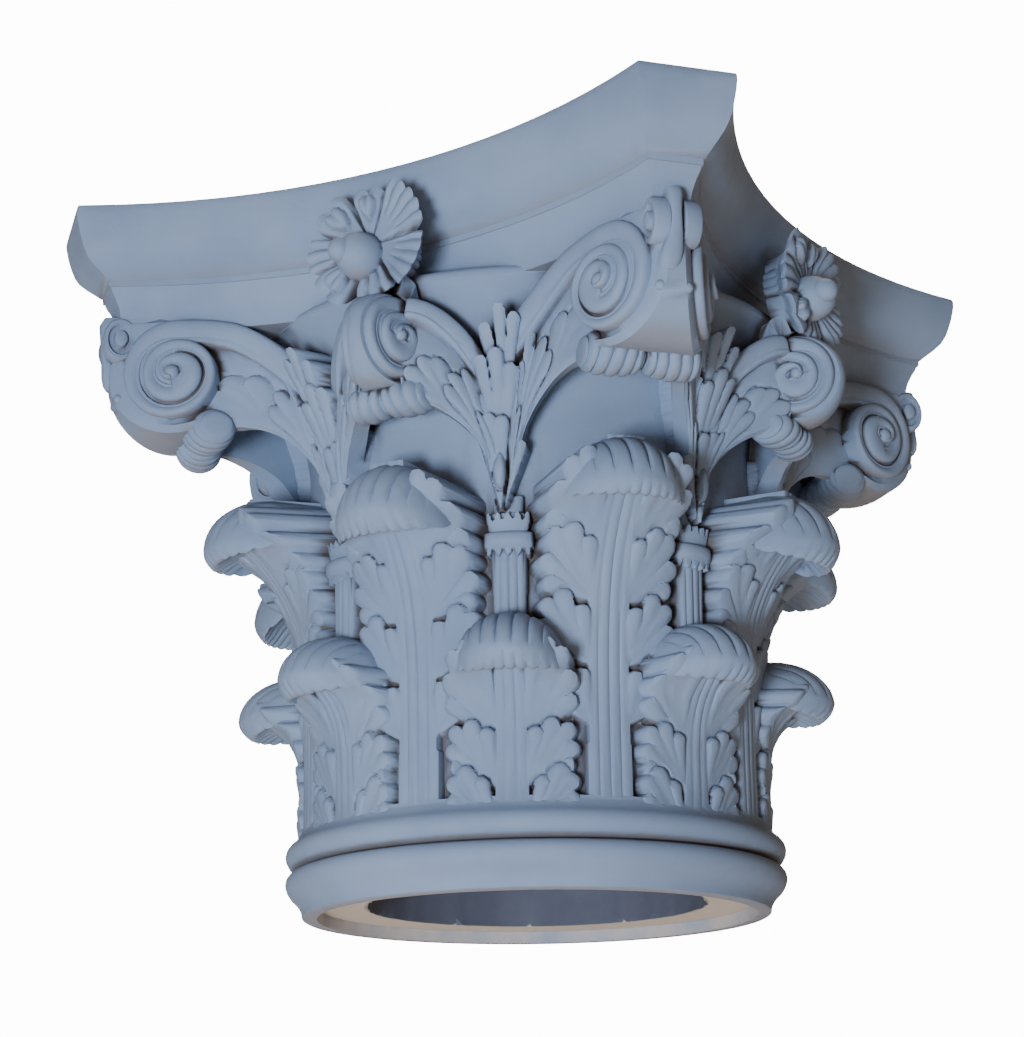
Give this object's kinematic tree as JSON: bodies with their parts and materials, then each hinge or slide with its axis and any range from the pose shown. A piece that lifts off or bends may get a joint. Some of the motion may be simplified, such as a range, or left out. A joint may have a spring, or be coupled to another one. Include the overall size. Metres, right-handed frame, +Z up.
{
  "type": "corinthian column capital",
  "caption": "Hollow cast Corinthian capital: moulded foot ring, rows of acanthus leaves, corner volutes, concave-sided abacus with a fleuron on each side.",
  "frame": {"origin": "middle of the underside, on the plane that the foot ring rests on", "axes": "+Z up the column's axis; the abacus faces look along X and Y, its corners stand on the diagonals"},
  "size_m": [0.4982, 0.4982, 0.459],
  "materials": {
    "plaster": "matte pale blue-grey paint over cast plaster, with brown-grey dust in the hollows"
  },
  "bodies": {
    "root": {"capital": "plaster"}
  },
  "joints": []
}
